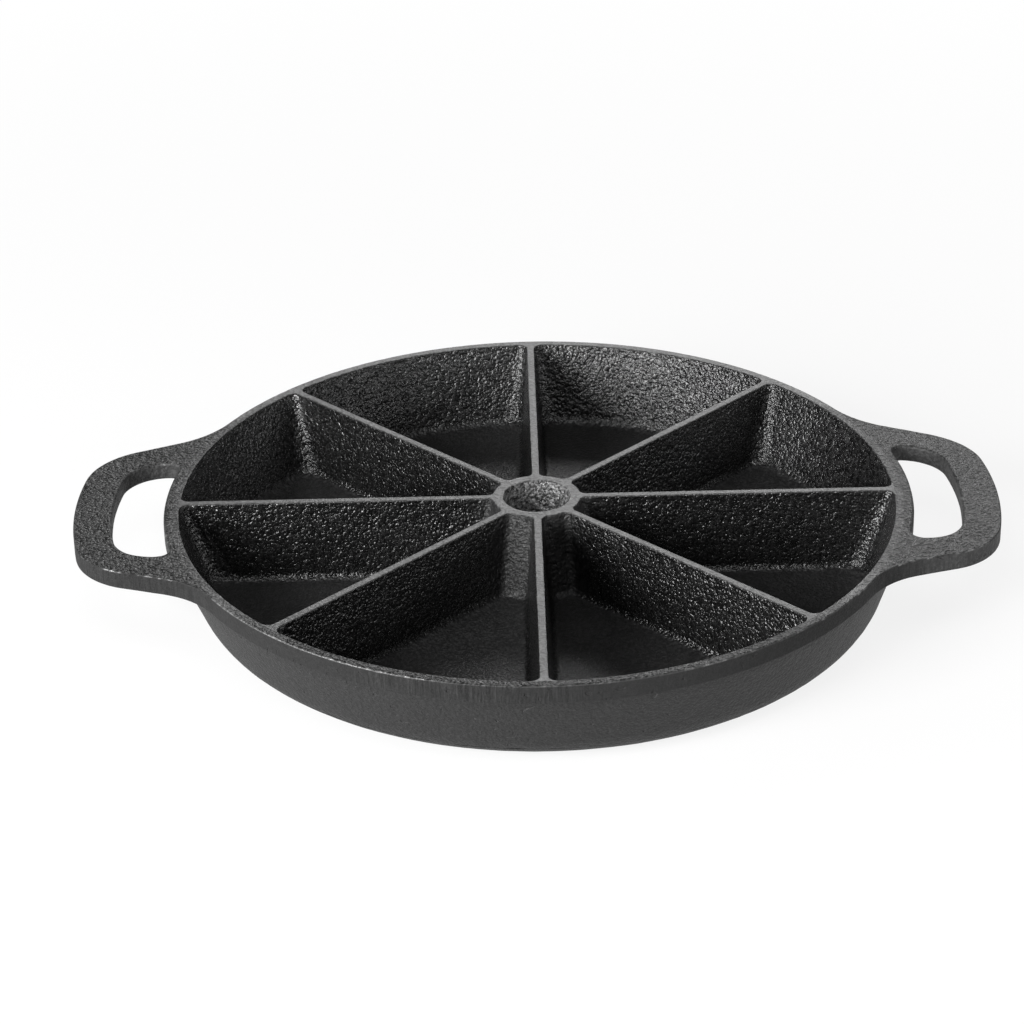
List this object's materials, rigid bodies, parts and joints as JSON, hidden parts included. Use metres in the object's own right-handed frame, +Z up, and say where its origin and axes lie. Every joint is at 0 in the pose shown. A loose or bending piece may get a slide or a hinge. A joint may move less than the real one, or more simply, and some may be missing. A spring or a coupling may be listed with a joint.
{
  "type": "wedge pan",
  "caption": "Round cast iron baking pan with wedge pockets between radial dividers, a small centre cup, and flat loop handles level with the rim.",
  "frame": {"origin": "centre of the flat underside", "axes": "+X along the handles, +Z up, out of the pockets"},
  "size_m": [0.281, 0.224, 0.0305],
  "materials": {
    "wall_iron": "smooth sand-cast iron, seasoned",
    "band_iron": "ground with fine upright marks, then seasoned",
    "pocket_iron": "pebbly sand-cast iron with a glossy oiled seasoning",
    "handle_iron": "pebbly sand-cast iron, dry seasoning"
  },
  "bodies": {
    "root": {"base_plate": "wall_iron", "side_wall": "wall_iron", "rim_band": "band_iron", "centre_cup": "pocket_iron", "divider_1": "pocket_iron", "divider_2": "pocket_iron", "divider_3": "pocket_iron", "divider_4": "pocket_iron", "divider_5": "pocket_iron", "divider_6": "pocket_iron", "divider_7": "pocket_iron", "divider_8": "pocket_iron", "handle_left": "handle_iron", "handle_right": "handle_iron"}
  },
  "joints": []
}
